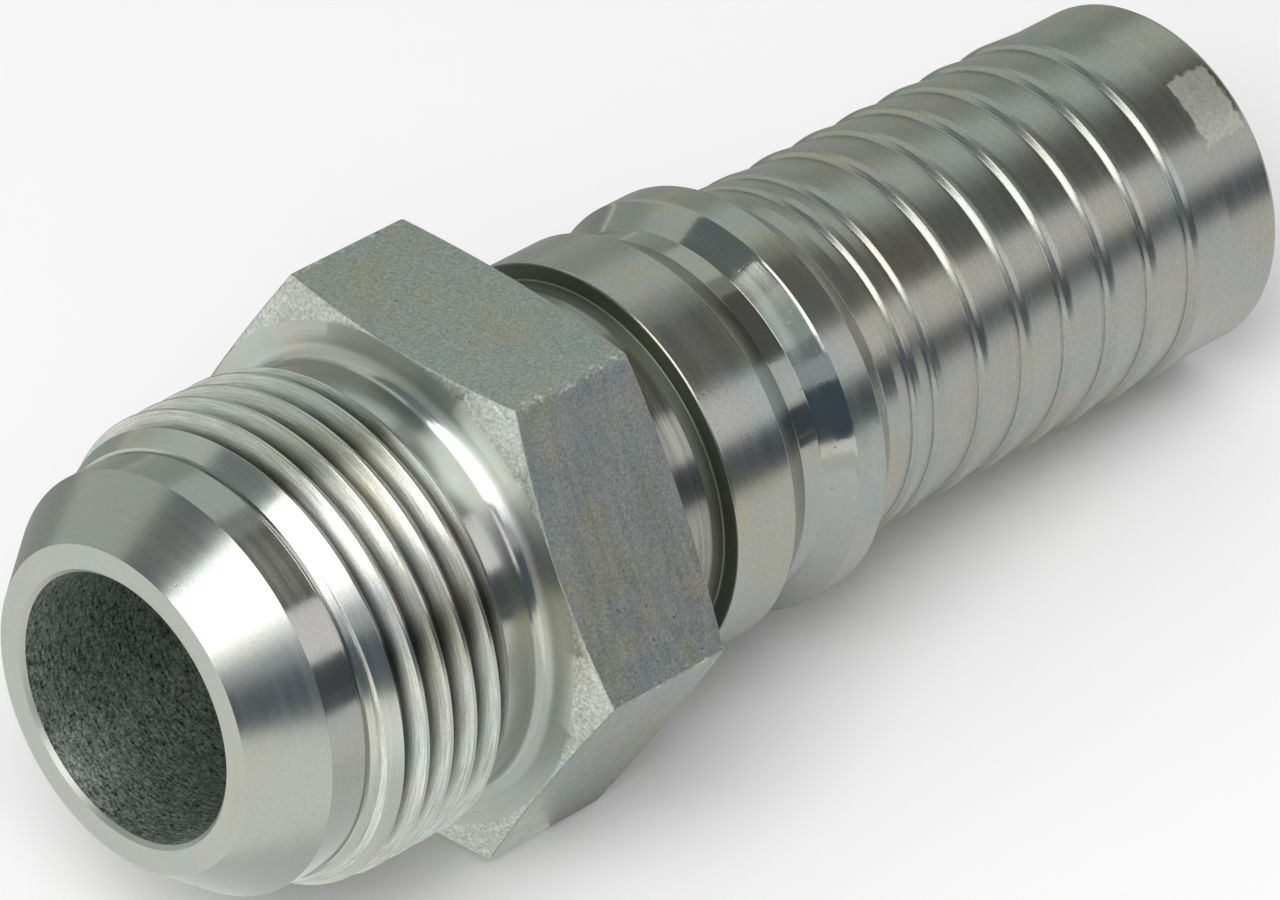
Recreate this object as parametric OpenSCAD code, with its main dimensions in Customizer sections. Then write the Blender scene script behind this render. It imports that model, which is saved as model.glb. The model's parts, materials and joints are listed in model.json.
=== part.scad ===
// Hose insert with a coned male thread, turned as one piece from hexagon bar.
// The part is drawn along its own axis, nose face first, and then laid down
// the way it comes to rest: on the rear edge of a hexagon flat and on its tail rim.

/* [Bore] */
// Diameter of the through bore
bore_d = 19; // [12:0.1:22]
// Chamfer at each mouth of the bore
bore_chamfer = 0.3; // [0.1:0.1:1]

/* [Nose] */
// Outer diameter of the flat nose face
face_d = 23.1; // [22.6:0.1:27]
// Angle of the sealing cone to the axis
seat_angle = 37; // [30:1:45]
// Diameter of the cylinder behind the cone
nose_d = 29.8; // [28:0.1:30]
// Length from the nose face to the step before the thread
nose_length = 7.45; // [7:0.05:9]
// Depth of the lead-in's foot below the root of the thread
lead_in_depth = 0.1; // [0:0.05:0.2]
// Length of the small step up to the lead-in
step_length = 0.25; // [0.1:0.05:0.5]
// Angle of the lead-in to the axis
lead_in_angle = 30; // [25:1:45]

/* [Thread] */
// Major diameter of the thread
thread_d = 33.2; // [32.7:0.1:35]
// Threads per inch
threads_per_inch = 12; // [10:1:14]
// Number of threads
thread_turns = 4; // [2:1:4]
// Angle of each thread flank to a plane across the axis
flank_angle = 30; // [25:1:30]

/* [Relief] */
// Depth of the relief groove below the root of the thread
relief_depth = 0.05; // [0:0.05:1]
// Angle of the relief's front wall to the axis
relief_angle = 45; // [40:1:60]
// Radius of the fillet at the foot of the hexagon
relief_fillet = 1.2; // [0.4:0.1:1.6]

/* [Hexagon] */
// Distance from the nose face to the hexagon
hex_start = 23.1; // [22.5:0.1:30]
// Thickness of the hexagon
hex_length = 11.6; // [8:0.1:20]
// Width of the hexagon across its flats
hex_flats = 36; // [35:0.1:41]
// Depth turned off each corner of the hexagon
hex_corner_cut = 0.06; // [0.02:0.02:0.5]
// Distance from a flat in to the edge of the front face
hex_front_inset = 0.1; // [0:0.1:0.8]
// Angle of the front chamfer to the front face
hex_front_angle = 17; // [10:1:30]
// Distance from a flat in to the edge of the rear face
hex_rear_inset = 0.5; // [0.1:0.1:0.9]
// Angle of the rear chamfer to the rear face
hex_rear_angle = 11; // [8:1:30]

/* [Shell groove] */
// Diameter of the groove that locks the hose shell
groove_d = 27; // [25:0.1:29]
// Length of the groove
groove_length = 6.7; // [3:0.1:12]
// Radius in the corners of the groove
groove_fillet = 0.5; // [0.2:0.1:1]

/* [Collar] */
// Diameter of the collar behind the groove
collar_d = 29.6; // [29.2:0.1:33]
// Length of the collar
collar_length = 5.4; // [2:0.1:10]
// Length of the small chamfer on the collar's front edge
collar_chamfer = 0.2; // [0.1:0.1:0.5]
// Angle of the collar's rear chamfer to the axis
collar_rear_angle = 30; // [25:1:60]
// Diameter of the waist between the collar and the flange
waist_d = 27; // [26:0.1:28.5]
// Length of the waist
waist_length = 1.75; // [0.5:0.05:5]

/* [Flange] */
// Diameter of the flange behind the waist
flange_d = 29.8; // [29:0.1:33]
// Angle of the flange's front to the axis
flange_front_angle = 34; // [25:1:60]
// Length of the flange's rim
flange_length = 2.5; // [1:0.1:6]
// Angle of the flange's rear to the axis
flange_rear_angle = 39; // [30:1:60]

/* [Neck] */
// Diameter of the neck
neck_d = 26; // [25.5:0.1:27]
// Length of plain neck before the first ring
neck_length = 1.3; // [0.5:0.1:5]
// Number of small rings on the neck
ring_count = 2; // [1:1:3]
// Distance from one ring to the next
ring_pitch = 2.1; // [1.8:0.05:3]
// Depth of the dip in front of each ring
ring_depth = 0.26; // [0.1:0.02:0.3]
// Angle of each ring's front to the axis
ring_front_angle = 30; // [25:1:45]
// Length of the slope down to each ring
ring_slope_length = 1.05; // [0.8:0.05:1.2]

/* [Barbs] */
// Diameter over the barbs
barb_d = 26; // [25.6:0.1:28]
// Diameter at the foot of each barb
barb_foot_d = 25.05; // [24:0.05:25.4]
// Number of barbs
barb_count = 6; // [2:1:9]
// Distance from one barb to the next
barb_pitch = 4.2; // [3:0.05:6]
// Angle of each barb's front to the axis
barb_front_angle = 33; // [25:1:60]
// Radius at the foot and on the crest of each barb
barb_rounding = 0.35; // [0.1:0.05:0.6]

/* [Tail] */
// Diameter of the plain tail end
tail_d = 25.4; // [25:0.1:25.9]
// Length of the slope from the last barb to the tail end
tail_slope_length = 3.9; // [2:0.1:6]
// Length of the plain tail end
tail_length = 4.7; // [2:0.1:12]
// Radius on the outer edge of the tail face
tail_rounding = 0.5; // [0.2:0.1:1]

/* [Hidden] */
$fn = 96;
inch = 25.4;
arc_steps = 4;
spare = 1;

// Thread section: the depth and the crest flat are set shares of the pitch
thread_pitch = inch / threads_per_inch;
thread_depth = 0.6134 * thread_pitch;
thread_root_d = thread_d - 2 * thread_depth;
crest_flat = thread_pitch / 8;
groove_half_width = (thread_pitch - crest_flat) / 2;
root_half_width = groove_half_width - thread_depth * tan(flank_angle);

// Diameters that follow the thread and the hexagon's flats
lead_in_d = thread_root_d - 2 * lead_in_depth;
relief_d = thread_root_d - 2 * relief_depth;
hex_corner_d = hex_flats / cos(30) - 2 * hex_corner_cut;
hex_front_d = hex_flats - 2 * hex_front_inset;
hex_rear_d = hex_flats - 2 * hex_rear_inset;

// Stations along the axis, counted from the nose face
cone_end = slope_run(face_d, nose_d, seat_angle);
lead_in_start = nose_length + step_length;
thread_start = lead_in_start + slope_run(lead_in_d, thread_d, lead_in_angle);
thread_end = thread_start + thread_turns * thread_pitch;
relief_start = thread_end + slope_run(relief_d, thread_d, relief_angle);
hex_end = hex_start + hex_length;
collar_start = hex_end + groove_length;
collar_end = collar_start + collar_length;
waist_start = collar_end + slope_run(waist_d, collar_d, collar_rear_angle);
waist_end = waist_start + waist_length;
flange_start = waist_end + slope_run(waist_d, flange_d, flange_front_angle);
flange_end = flange_start + flange_length;
neck_start = flange_end + slope_run(neck_d, flange_d, flange_rear_angle);
rings_start = neck_start + neck_length;
ring_front_run = slope_run(neck_d - 2 * ring_depth, neck_d, ring_front_angle);
barbs_start = rings_start + ring_count * ring_pitch;
barb_front_run = slope_run(barb_foot_d, barb_d, barb_front_angle);
barbs_end = barbs_start + barb_count * barb_pitch;
tail_start = barbs_end + tail_slope_length;
overall_length = tail_start + tail_length;

// Rest: a straight edge that touches the hexagon's rear edge and the tail's rounded rim
rest_edge = hex_end - chamfer_run(hex_rear_d, hex_flats, hex_rear_angle);
rest_run = overall_length - tail_rounding - rest_edge;
rest_drop = hex_flats / 2 - (tail_d / 2 - tail_rounding);
rest_tilt = atan(rest_drop / rest_run) - asin(tail_rounding / norm([rest_run, rest_drop]));

// Run along the axis of a slope between two diameters, at an angle to the axis
function slope_run(small_d, large_d, angle) = (large_d - small_d) / 2 / tan(angle);

// Run along the axis of an end chamfer between two diameters, at an angle to a plane across it
function chamfer_run(small_d, large_d, angle) = (large_d - small_d) / 2 * tan(angle);

function unit(v) = v / norm(v);

// Arc that rounds one corner of an outline, held within half of each side that meets there
function corner_arc(before, corner, after, radius) =
    let (
        back = before - corner,
        ahead = after - corner,
        half = acos(unit(back) * unit(ahead)) / 2,
        reach = min(radius / tan(half), norm(back) / 2, norm(ahead) / 2),
        first = corner + unit(back) * reach,
        centre = corner + unit(unit(back) + unit(ahead)) * reach / cos(half),
        side = sign(cross(back, ahead)),
        spoke = first - centre,
        sweep = side * (180 - 2 * half)
    )
    [for (i = [0 : arc_steps])
        let (turn = -sweep * i / arc_steps)
        centre + [spoke.x * cos(turn) - spoke.y * sin(turn), spoke.x * sin(turn) + spoke.y * cos(turn)]];

// Outline of [station, diameter, rounding] corners turned into [radius, station] points
function turned_points(corners) =
    let (
        flat = [for (c = corners) [c[1] / 2, c[0]]],
        last = len(corners) - 1
    )
    [for (i = [0 : last])
        each (i == 0 || i == last || corners[i][2] == 0)
            ? [flat[i]]
            : corner_arc(flat[i - 1], flat[i], flat[i + 1], corners[i][2])];

// Flat face, sealing cone, plain nose and the small step before the thread
function nose_corners() = [
    [0, 0, 0],
    [0, face_d, 0],
    [cone_end, nose_d, 0],
    [nose_length, nose_d, 0],
    [lead_in_start, lead_in_d, 0]
];

// The thread as rings of its true section, one to each turn
function thread_corners() = [
    [thread_start, thread_d, 0],
    for (i = [0 : thread_turns - 1])
        let (middle = thread_start + (i + 0.5) * thread_pitch)
        each [
            [middle - groove_half_width, thread_d, 0],
            [middle - root_half_width, thread_root_d, 0],
            [middle + root_half_width, thread_root_d, 0],
            [middle + groove_half_width, thread_d, 0]
        ],
    [thread_end, thread_d, 0]
];

// Relief groove, and the hexagon's two chamfered ends as the lathe leaves them
function hexagon_corners() = [
    [relief_start, relief_d, 0],
    [hex_start, relief_d, relief_fillet],
    [hex_start, hex_front_d, 0],
    [hex_start + chamfer_run(hex_front_d, hex_corner_d, hex_front_angle), hex_corner_d, 0],
    [hex_end - chamfer_run(hex_rear_d, hex_corner_d, hex_rear_angle), hex_corner_d, 0],
    [hex_end, hex_rear_d, 0]
];

// Shell groove, collar, waist and flange
function collar_corners() = [
    [hex_end, groove_d, groove_fillet],
    [collar_start, groove_d, groove_fillet],
    [collar_start, collar_d - 2 * collar_chamfer, 0],
    [collar_start + collar_chamfer, collar_d, 0],
    [collar_end, collar_d, 0],
    [waist_start, waist_d, 0],
    [waist_end, waist_d, 0],
    [flange_start, flange_d, 0],
    [flange_end, flange_d, 0],
    [neck_start, neck_d, 0]
];

// Plain neck and its small rings, each a short dip with a steep front
function neck_corners() = [
    for (i = [0 : ring_count - 1])
        let (dip = rings_start + i * ring_pitch + ring_slope_length)
        each [
            [dip - ring_slope_length, neck_d, 0],
            [dip, neck_d - 2 * ring_depth, 0],
            [dip + ring_front_run, neck_d, 0]
        ]
];

// Barbs: a slope down towards the tail and a steep front up to the next crest
function barb_corners() = [
    [barbs_start, barb_d, 0],
    for (i = [1 : barb_count])
        let (crest = barbs_start + i * barb_pitch)
        each [
            [crest - barb_front_run, barb_foot_d, barb_rounding],
            [crest, barb_d, barb_rounding]
        ]
];

// Plain end with a rounded rim
function tail_corners() = [
    [tail_start, tail_d, 0],
    [overall_length, tail_d, tail_rounding],
    [overall_length, 0, 0]
];

// Everything that the lathe cuts, the hexagon's corners included
module turned_shape() {
    rotate_extrude()
        polygon(turned_points(concat(
            nose_corners(),
            thread_corners(),
            hexagon_corners(),
            collar_corners(),
            neck_corners(),
            barb_corners(),
            tail_corners()
        )));
}

// The hexagon bar that the part is turned from, with one flat facing down at rest
module hexagon_bar() {
    rotate([0, 0, 30])
        translate([0, 0, -spare])
            cylinder(h = overall_length + 2 * spare, d = hex_flats / cos(30), $fn = 6);
}

// Through bore with a chamfer at each mouth
module bore() {
    translate([0, 0, -spare])
        cylinder(h = overall_length + 2 * spare, d = bore_d);
    bore_mouth();
    translate([0, 0, overall_length])
        mirror([0, 0, 1])
            bore_mouth();
}

// 45 degree chamfer of one mouth, carried past the face
module bore_mouth() {
    translate([0, 0, -bore_chamfer])
        cylinder(h = 2 * bore_chamfer, d1 = bore_d + 4 * bore_chamfer, d2 = bore_d);
}

module fitting_body() {
    color("silver")
        rotate([0, 90 + rest_tilt, 0])
            difference() {
                intersection() {
                    turned_shape();
                    hexagon_bar();
                }
                bore();
            }
}

fitting_body();
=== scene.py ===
import json
import logging
import math
from dataclasses import dataclass, field
from enum import IntEnum
from typing import Callable, Iterable, Sequence

import bpy
import numpy as np
from mathutils import Matrix, Vector


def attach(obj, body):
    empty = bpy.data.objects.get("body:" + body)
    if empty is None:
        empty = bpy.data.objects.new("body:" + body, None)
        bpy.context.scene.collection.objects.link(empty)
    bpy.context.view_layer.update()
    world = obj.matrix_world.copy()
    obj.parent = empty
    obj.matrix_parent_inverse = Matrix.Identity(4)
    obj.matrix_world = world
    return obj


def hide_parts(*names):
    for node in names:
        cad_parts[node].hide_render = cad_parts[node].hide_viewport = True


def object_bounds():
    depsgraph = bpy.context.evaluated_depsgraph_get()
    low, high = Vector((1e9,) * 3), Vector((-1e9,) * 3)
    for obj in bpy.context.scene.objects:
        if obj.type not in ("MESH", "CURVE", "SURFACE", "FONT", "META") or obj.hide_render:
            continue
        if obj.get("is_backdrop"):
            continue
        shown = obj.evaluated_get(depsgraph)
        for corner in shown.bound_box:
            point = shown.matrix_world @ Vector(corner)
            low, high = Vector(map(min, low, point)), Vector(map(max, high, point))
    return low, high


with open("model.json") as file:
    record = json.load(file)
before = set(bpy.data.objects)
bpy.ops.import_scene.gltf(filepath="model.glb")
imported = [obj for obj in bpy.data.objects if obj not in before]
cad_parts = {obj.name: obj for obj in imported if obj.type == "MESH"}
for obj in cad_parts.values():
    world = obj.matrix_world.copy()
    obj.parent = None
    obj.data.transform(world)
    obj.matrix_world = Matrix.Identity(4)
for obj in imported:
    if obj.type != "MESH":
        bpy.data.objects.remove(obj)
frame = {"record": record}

LOG = logging.getLogger("fitting")
MM = 0.001


# Frame of the part


@dataclass(frozen=True)
class PartAxis:
    """The fitting's own axis, which lies at a slight slope because the part rests on two edges."""

    along: Vector
    up: Vector
    side: Vector

    @classmethod
    def from_record(cls, record: dict) -> "PartAxis":
        """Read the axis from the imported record.

        Args:
            record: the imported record, whose hose tail mount points along the axis.

        Returns:
            The axis, with up as the normal of the upper flat and side to its right, seen from the nose.
        """
        tail = next(m for m in record["mounts"] if m["name"] == "hose_tail")
        along = Vector(tail["axis"]).normalized()
        side = Vector((0.0, -1.0, 0.0))
        return cls(along, side.cross(along).normalized(), side)


def mount_size(record: dict, mount: str, key: str) -> float:
    """Read one size of a mount.

    Args:
        record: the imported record.
        mount: the mount's name.
        key: the size's key, such as r_mm.

    Returns:
        The size in millimetres.
    """
    return next(m for m in record["mounts"] if m["name"] == mount)["dims"][key]


# Section of the part


class Zone(IntEnum):
    """The differently finished zones of the one-piece body."""

    CONE = 0
    FACE = 1
    THREAD = 2
    RELIEF = 3
    SHOULDER = 4
    CHAMFER = 5
    FLAT = 6
    GROOVE = 7
    COLLAR = 8
    WAIST = 9
    TAIL = 10
    BORE = 11
    # WALL is coloured dark as painted shade in the recess at the foot of the collar.
    WALL = 12
    NOSE = 13
    FLANK = 14


class Part(IntEnum):
    """Which line of a thread groove a row of the mesh follows."""

    PLAIN = 0
    LEFT_LAND = 1
    LEFT_LIP = 2
    ROOT_LEFT = 3
    ROOT_RIGHT = 4
    RIGHT_LIP = 5
    RIGHT_LAND = 6
    CONE_BREAK = 7
    WALL_BREAK = 8


@dataclass(frozen=True)
class Corner:
    """A corner of the section, before it is rounded."""

    station: float
    radius: float
    zone: Zone
    rounding: float = 0.0
    lean: float = 0.0
    inset: float = 0.0
    hexed: bool = False
    part: Part = Part.PLAIN
    turn: int = 0


@dataclass
class Section:
    """The closed outline of one half of the part, from the bore's mouth round to the bore's mouth."""

    corners: list[Corner] = field(default_factory=list)
    arc_steps: int = 4

    def add(self, station: float, radius: float, zone: Zone, rounding: float = 0.0) -> None:
        """Add a corner.

        Args:
            station: distance from the nose face along the axis, in millimetres.
            radius: distance from the axis, in millimetres.
            zone: finish of the surface from this corner to the next.
            rounding: radius of the corner.
        """
        self.corners.append(Corner(station, radius, zone, rounding))

    def extend(self, corners: Iterable[Corner]) -> None:
        """Add corners that are ready made."""
        self.corners.extend(corners)

    def rows(self) -> list[Corner]:
        """Round the corners that ask for it.

        Returns:
            One corner for each row of the mesh, in order.
        """
        out: list[Corner] = []
        count = len(self.corners)
        for i, corner in enumerate(self.corners):
            if corner.rounding <= 0:
                out.append(corner)
                continue
            before, after = self.corners[i - 1], self.corners[(i + 1) % count]
            out.extend(self._arc(before, corner, after))
        return out

    def _arc(self, before: Corner, corner: Corner, after: Corner) -> list[Corner]:
        """Replace one corner by an arc.

        Args:
            before: the corner before it.
            corner: the corner to round.
            after: the corner after it.

        Returns:
            The rows of the arc, held within half of each side that meets there.
        """
        here = np.array([corner.station, corner.radius])
        back = np.array([before.station, before.radius]) - here
        ahead = np.array([after.station, after.radius]) - here
        long_back, long_ahead = np.linalg.norm(back), np.linalg.norm(ahead)
        back, ahead = back / long_back, ahead / long_ahead
        half = math.acos(float(np.clip(back @ ahead, -1, 1))) / 2
        reach = min(corner.rounding / math.tan(half), 0.45 * long_back, 0.45 * long_ahead)
        middle = here + (back + ahead) / np.linalg.norm(back + ahead) * reach / math.cos(half)
        spoke = here + back * reach - middle
        side = math.copysign(1.0, back[0] * ahead[1] - back[1] * ahead[0])
        rows = []
        for step in range(self.arc_steps + 1):
            turn = -side * (math.pi - 2 * half) * step / self.arc_steps
            c, s = math.cos(turn), math.sin(turn)
            point = middle + np.array([spoke[0] * c - spoke[1] * s, spoke[0] * s + spoke[1] * c])
            zone = before.zone if step < self.arc_steps / 2 else corner.zone
            rows.append(Corner(float(point[0]), float(point[1]), zone))
        return rows


def tan_deg(angle: float) -> float:
    """Tangent of an angle in degrees."""
    return math.tan(math.radians(angle))


@dataclass
class Nose:
    """Flat face, sealing cone and plain cylinder before the thread."""

    face_radius: float = 11.55
    cone_angle: float = 37.0
    radius: float = 14.9
    step: float = 7.5
    step_radius: float = 15.11
    step_run: float = 0.05
    marks: int = 2
    mark_depth: float = 0.012
    mark_pitch: float = 0.15
    mark_half: float = 0.04
    edge: float = 0.07

    def draw(self, section: Section) -> None:
        """Add the nose to the section, up to the foot of the thread's lead-in."""
        cone_end = (self.radius - self.face_radius) / tan_deg(self.cone_angle)
        section.add(0.0, self.face_radius, Zone.CONE, self.edge)
        section.add(cone_end, self.radius, Zone.NOSE, self.edge)
        for mark in range(self.marks, 0, -1):
            place = self.step - mark * self.mark_pitch
            for offset, depth in ((-self.mark_half, 0.0), (0.0, self.mark_depth), (self.mark_half, 0.0)):
                section.add(place + offset, self.radius - depth, Zone.NOSE)
        section.add(self.step, self.radius, Zone.NOSE)
        section.add(self.step + self.step_run, self.step_radius, Zone.THREAD)


@dataclass
class Thread:
    """Right-handed 60 degree thread between the lead-in cone and the relief groove."""

    start: float = 7.7
    lead_in_radius: float = 15.2
    lead_in_angle: float = 30.0
    crest_radius: float = 16.6
    pitch: float = 25.4 / 12
    flank_angle: float = 30.0
    depth_share: float = 0.6134
    crest_share: float = 0.125
    crest_end: float = 18.45
    wall_angle: float = 45.0
    relief_radius: float = 15.25
    first_groove: float = 7.6
    lip: float = 0.04
    entry: float = 8.0

    @property
    def root_radius(self) -> float:
        """Radius at the root of the thread."""
        return self.crest_radius - self.depth_share * self.pitch

    @property
    def wall_end(self) -> float:
        """Station at which the relief's front wall meets the relief."""
        return self.crest_end + (self.crest_radius - self.relief_radius) / tan_deg(self.wall_angle)

    @property
    def cone_break(self) -> float:
        """Station at which the lead-in cone meets the crest."""
        return self.start + (self.crest_radius - self.lead_in_radius) / tan_deg(self.lead_in_angle)

    @property
    def root_half(self) -> float:
        """Half the width of the flat at the root."""
        groove_half = self.pitch * (1 - self.crest_share) / 2
        return groove_half - self.depth_share * self.pitch * tan_deg(self.flank_angle)

    def draw(self, section: Section) -> None:
        """Add a row for each line of each groove, which the node tree moves along the helix."""
        section.add(self.start, self.lead_in_radius, Zone.THREAD)
        turns = math.ceil((self.wall_end - self.first_groove) / self.pitch) + 1
        flanks = (Part.LEFT_LIP, Part.ROOT_LEFT, Part.ROOT_RIGHT)
        for turn in range(-1, turns):
            for part in list(Part)[1:]:
                zone = Zone.FLANK if part in flanks else Zone.THREAD
                section.extend([Corner(self.start, self.crest_radius, zone, part=part, turn=turn)])
        section.add(self.wall_end, self.relief_radius, Zone.RELIEF)


@dataclass
class Hexagon:
    """Relief fillet, turned shoulder, chamfers and the six flats."""

    front: float = 23.1
    length: float = 11.6
    half_width: float = 18.0
    corner_radius: float = 20.72
    fillet: float = 1.25
    shoulder_radius: float = 17.85
    front_angle: float = 17.0
    rear_radius: float = 17.5
    rear_angle: float = 11.0
    edge: float = 0.09

    @property
    def rear(self) -> float:
        """Station of the rear face."""
        return self.front + self.length

    def draw(self, section: Section, relief_radius: float) -> None:
        """Add the hexagon to the section.

        Args:
            section: the section to add to.
            relief_radius: radius of the relief groove before the hexagon.
        """
        section.add(self.front, relief_radius, Zone.SHOULDER, self.fillet)
        section.add(self.front, self.shoulder_radius, Zone.CHAMFER)
        front_lean, rear_lean = tan_deg(self.front_angle), -tan_deg(self.rear_angle)
        front_corner = self.front + (self.corner_radius - self.shoulder_radius) * front_lean
        rear_corner = self.rear + (self.corner_radius - self.rear_radius) * rear_lean
        round_off = self.edge
        section.extend([
            Corner(front_corner, self.corner_radius, Zone.FLAT, 0.0, front_lean, round_off, True),
            Corner(front_corner + round_off, self.corner_radius, Zone.FLAT, 0.0, front_lean, 0.0, True),
            Corner(rear_corner - round_off, self.corner_radius, Zone.FLAT, 0.0, rear_lean, 0.0, True),
            Corner(rear_corner, self.corner_radius, Zone.CHAMFER, 0.0, rear_lean, round_off, True),
        ])
        section.add(self.rear, self.rear_radius, Zone.SHOULDER)


@dataclass
class ShellLock:
    """Groove, collar, waist and flange that hold the hose shell."""

    groove_radius: float = 13.5
    groove_length: float = 6.7
    groove_fillet: float = 0.5
    collar_radius: float = 14.8
    collar_length: float = 5.4
    collar_rear_angle: float = 30.0
    waist_radius: float = 13.5
    waist_length: float = 1.75
    flange_radius: float = 14.9
    flange_front_angle: float = 34.0
    flange_length: float = 2.5
    flange_rear_angle: float = 39.0
    lip_run: float = 0.24
    lip_angle: float = 41.0
    wall_foot: float = 1.1
    foot_rounding: float = 0.15
    collar_rounding: float = 0.2
    waist_fillets: tuple[float, float] = (0.3, 0.12)
    flange_roundings: tuple[float, float] = (0.08, 0.15)
    neck_fillet: float = 0.3

    def draw(self, section: Section, start: float, neck_radius: float) -> float:
        """Add these shapes to the section.

        Args:
            section: the section to add to.
            start: station of the hexagon's rear face.
            neck_radius: radius of the neck behind the flange.

        Returns:
            The station at which the neck starts.
        """
        collar = start + self.groove_length
        collar_end = collar + self.collar_length
        waist = collar_end + (self.collar_radius - self.waist_radius) / tan_deg(self.collar_rear_angle)
        waist_end = waist + self.waist_length
        flange = waist_end + (self.flange_radius - self.waist_radius) / tan_deg(self.flange_front_angle)
        flange_end = flange + self.flange_length
        neck = flange_end + (self.flange_radius - neck_radius) / tan_deg(self.flange_rear_angle)
        section.add(start, self.groove_radius, Zone.GROOVE, self.groove_fillet)
        # The groove floor just before the collar and the collar's front wall take the dark WALL colour, which
        # is painted shade in this recess.
        section.add(collar - self.wall_foot, self.groove_radius, Zone.WALL)
        section.add(collar, self.groove_radius, Zone.WALL, self.foot_rounding)
        section.add(collar, self.collar_radius, Zone.COLLAR, self.collar_rounding)
        section.add(collar_end, self.collar_radius, Zone.COLLAR, self.collar_rounding)
        for station, fillet in zip((waist, waist_end), self.waist_fillets):
            section.add(station, self.waist_radius, Zone.WAIST, fillet)
        lip_foot = self.flange_radius - self.lip_run * tan_deg(self.lip_angle)
        section.add(flange - self.lip_run, lip_foot, Zone.WAIST)
        section.add(flange, self.flange_radius, Zone.COLLAR, self.flange_roundings[0])
        section.add(flange_end, self.flange_radius, Zone.TAIL, self.flange_roundings[1])
        section.add(neck, neck_radius, Zone.TAIL, self.neck_fillet)
        return neck


@dataclass
class HoseTail:
    """Neck with two small rings, the barbs and the plain end."""

    neck_radius: float = 13.0
    neck_length: float = 1.3
    rings: int = 2
    ring_pitch: float = 2.1
    ring_slope: float = 1.24
    ring_depth: float = 0.26
    ring_front_angle: float = 45.0
    ring_roundings: tuple[float, float, float] = (0.4, 0.12, 0.25)
    barb_radius: float = 13.0
    barb_foot_radius: float = 12.525
    barbs: int = 6
    barb_pitch: float = 4.2
    barb_front_angle: float = 48.0
    barb_roundings: tuple[float, float, float] = (0.2, 0.35, 0.9)
    crest_front: float = 0.14
    crest_back: float = 0.3
    first_rounding: float = 0.3
    end_slope: float = 3.9
    end_radius: float = 12.7
    end_length: float = 4.6985
    end_roundings: tuple[float, float] = (0.5, 0.5)

    def draw(self, section: Section, start: float) -> float:
        """Add the tail to the section.

        Args:
            section: the section to add to.
            start: station at which the neck starts.

        Returns:
            The station of the tail's end face.
        """
        front_run = self.ring_depth / tan_deg(self.ring_front_angle)
        rings_start = start + self.neck_length
        dip_radius = self.neck_radius - self.ring_depth
        for ring in range(self.rings):
            dip = rings_start + ring * self.ring_pitch + self.ring_slope
            stations = (dip - self.ring_slope, dip, dip + front_run)
            radii = (self.neck_radius, dip_radius, self.neck_radius)
            self._add_all(section, stations, radii, self.ring_roundings)
        barbs_start = rings_start + self.rings * self.ring_pitch
        height = self.barb_radius - self.barb_foot_radius
        steep = tan_deg(self.barb_front_angle)
        back_slope = height / (self.barb_pitch - height / steep)
        front = self.barb_radius - self.crest_front * steep
        back = self.barb_radius - self.crest_back * back_slope
        section.add(barbs_start, self.barb_radius, Zone.TAIL, self.first_rounding)
        for barb in range(1, self.barbs + 1):
            crest = barbs_start + barb * self.barb_pitch
            stations = (crest - height / steep, crest - self.crest_front, crest + self.crest_back)
            self._add_all(section, stations, (self.barb_foot_radius, front, back), self.barb_roundings)
        end_start = barbs_start + self.barbs * self.barb_pitch + self.end_slope
        end = end_start + self.end_length
        section.add(end_start, self.end_radius, Zone.TAIL, self.end_roundings[0])
        section.add(end, self.end_radius, Zone.FACE, self.end_roundings[1])
        return end

    @staticmethod
    def _add_all(section: Section, stations: Sequence[float], radii: Sequence[float],
                 roundings: Sequence[float]) -> None:
        """Add the corners of one ring or barb, given by their stations, radii and roundings."""
        for station, radius, rounding in zip(stations, radii, roundings):
            section.add(station, radius, Zone.TAIL, rounding)


@dataclass
class Bore:
    """Through bore with a small chamfer at each mouth."""

    radius: float
    chamfer: float = 0.3
    edge: float = 0.08

    def draw(self, section: Section, end: float) -> None:
        """Close the section along the bore, from the tail's end face back to the nose face."""
        section.add(end, self.radius + self.chamfer, Zone.FACE, self.edge)
        section.add(end - self.chamfer, self.radius, Zone.BORE)
        section.add(self.chamfer, self.radius, Zone.FACE)
        section.add(0.0, self.radius + self.chamfer, Zone.FACE, self.edge)


# Node helpers


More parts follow.
